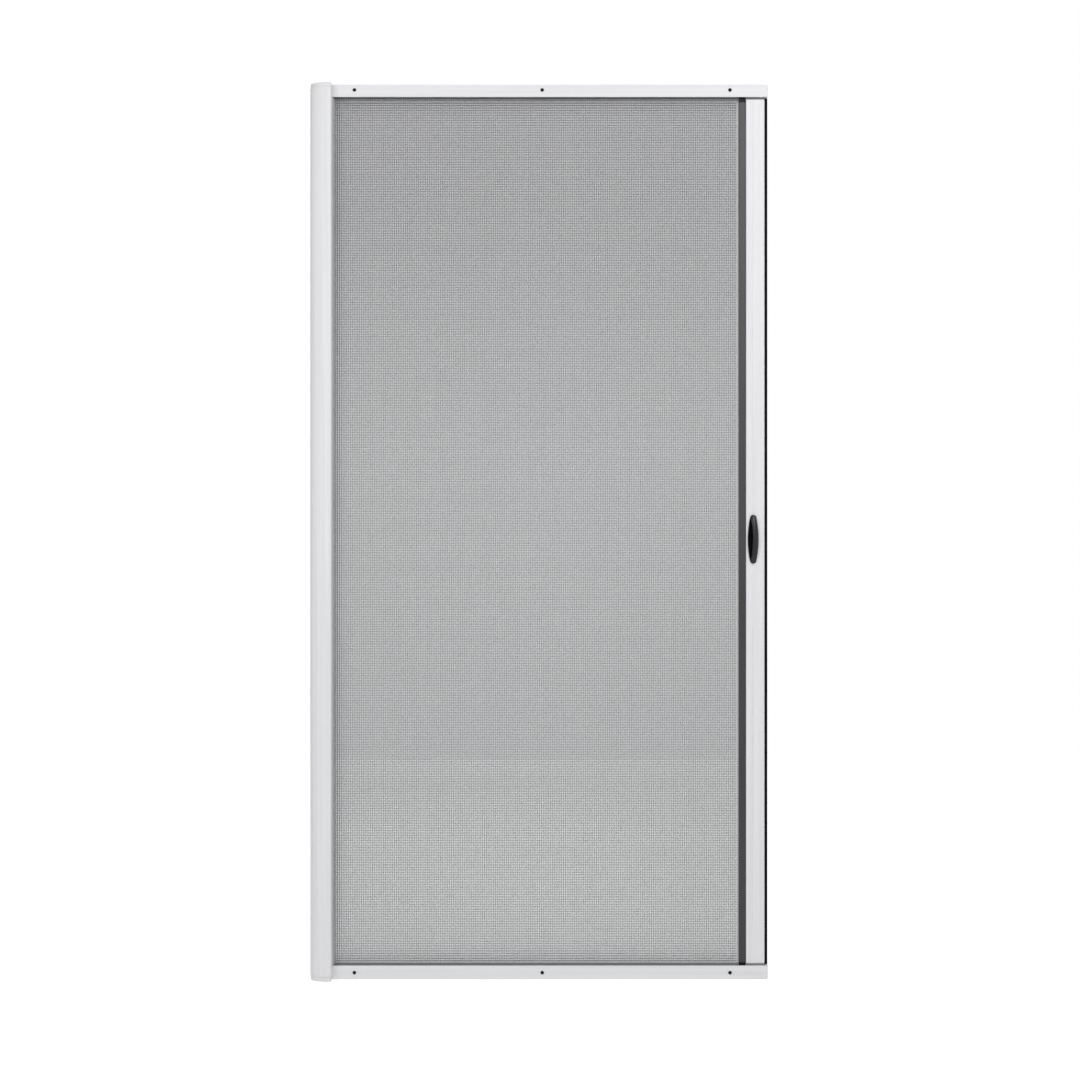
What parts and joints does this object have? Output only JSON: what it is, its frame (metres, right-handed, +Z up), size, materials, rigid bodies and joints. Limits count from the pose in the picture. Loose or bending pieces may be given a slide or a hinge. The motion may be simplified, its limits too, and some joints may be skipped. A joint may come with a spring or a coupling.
{
  "type": "retractable screen door",
  "caption": "Side-pulling retractable insect screen for a doorway: a tall roller housing, top and bottom tracks, and a sliding pull bar with a hand pull on each face.",
  "frame": {"origin": "on the wall plane, at the middle of the width and level with the underside of the bottom track", "axes": "+X from the roller housing to the closing jamb, +Y into the wall, +Z up; the room side faces -Y"},
  "size_m": [1.039, 0.05, 2.032],
  "materials": {
    "white_aluminium": "satin white powder coat",
    "white_plastic": "fine moulded white",
    "black_plastic": "satin moulded black",
    "retainer_vinyl": "extruded charcoal vinyl",
    "seal_rubber": "matte black",
    "grey_pile": "woven pile",
    "screen_cloth": "vinyl-coated glass yarn mesh",
    "mill_aluminium": "mill",
    "roller_plastic": "moulded grey",
    "pin_steel": "turned"
  },
  "bodies": {
    "frame": {"bottom_track": "white_aluminium", "bottom_track_end_plug": "white_plastic", "bottom_track_front_pile": "grey_pile", "bottom_track_rear_pile": "grey_pile", "housing": "white_aluminium", "housing_bottom_cap": "white_plastic", "housing_top_cap": "white_plastic", "roller_bottom_pin": "pin_steel", "roller_bottom_plug": "roller_plastic", "roller_top_pin": "pin_steel", "roller_top_plug": "roller_plastic", "roller_tube": "mill_aluminium", "screen_mesh": "screen_cloth", "slot_brush_front": "grey_pile", "slot_brush_rear": "grey_pile", "top_track": "white_aluminium", "top_track_end_plug": "white_plastic", "top_track_front_pile": "grey_pile", "top_track_rear_pile": "grey_pile", "wound_screen": "screen_cloth"},
    "bar": {"bar_bottom_cap": "white_plastic", "bar_top_cap": "white_plastic", "bottom_glide": "black_plastic", "front_handle": "black_plastic", "magnetic_seal": "seal_rubber", "pull_bar": "white_aluminium", "rear_handle": "black_plastic", "screen_retainer": "retainer_vinyl", "screen_spline": "seal_rubber", "top_glide": "black_plastic"}
  },
  "joints": [
    {"name": "bar_slide", "type": "slide", "parent": "frame", "child": "bar", "axis": [-1, 0, 0], "range_m": [0, 0.911], "deforming": ["screen_mesh"]}
  ]
}
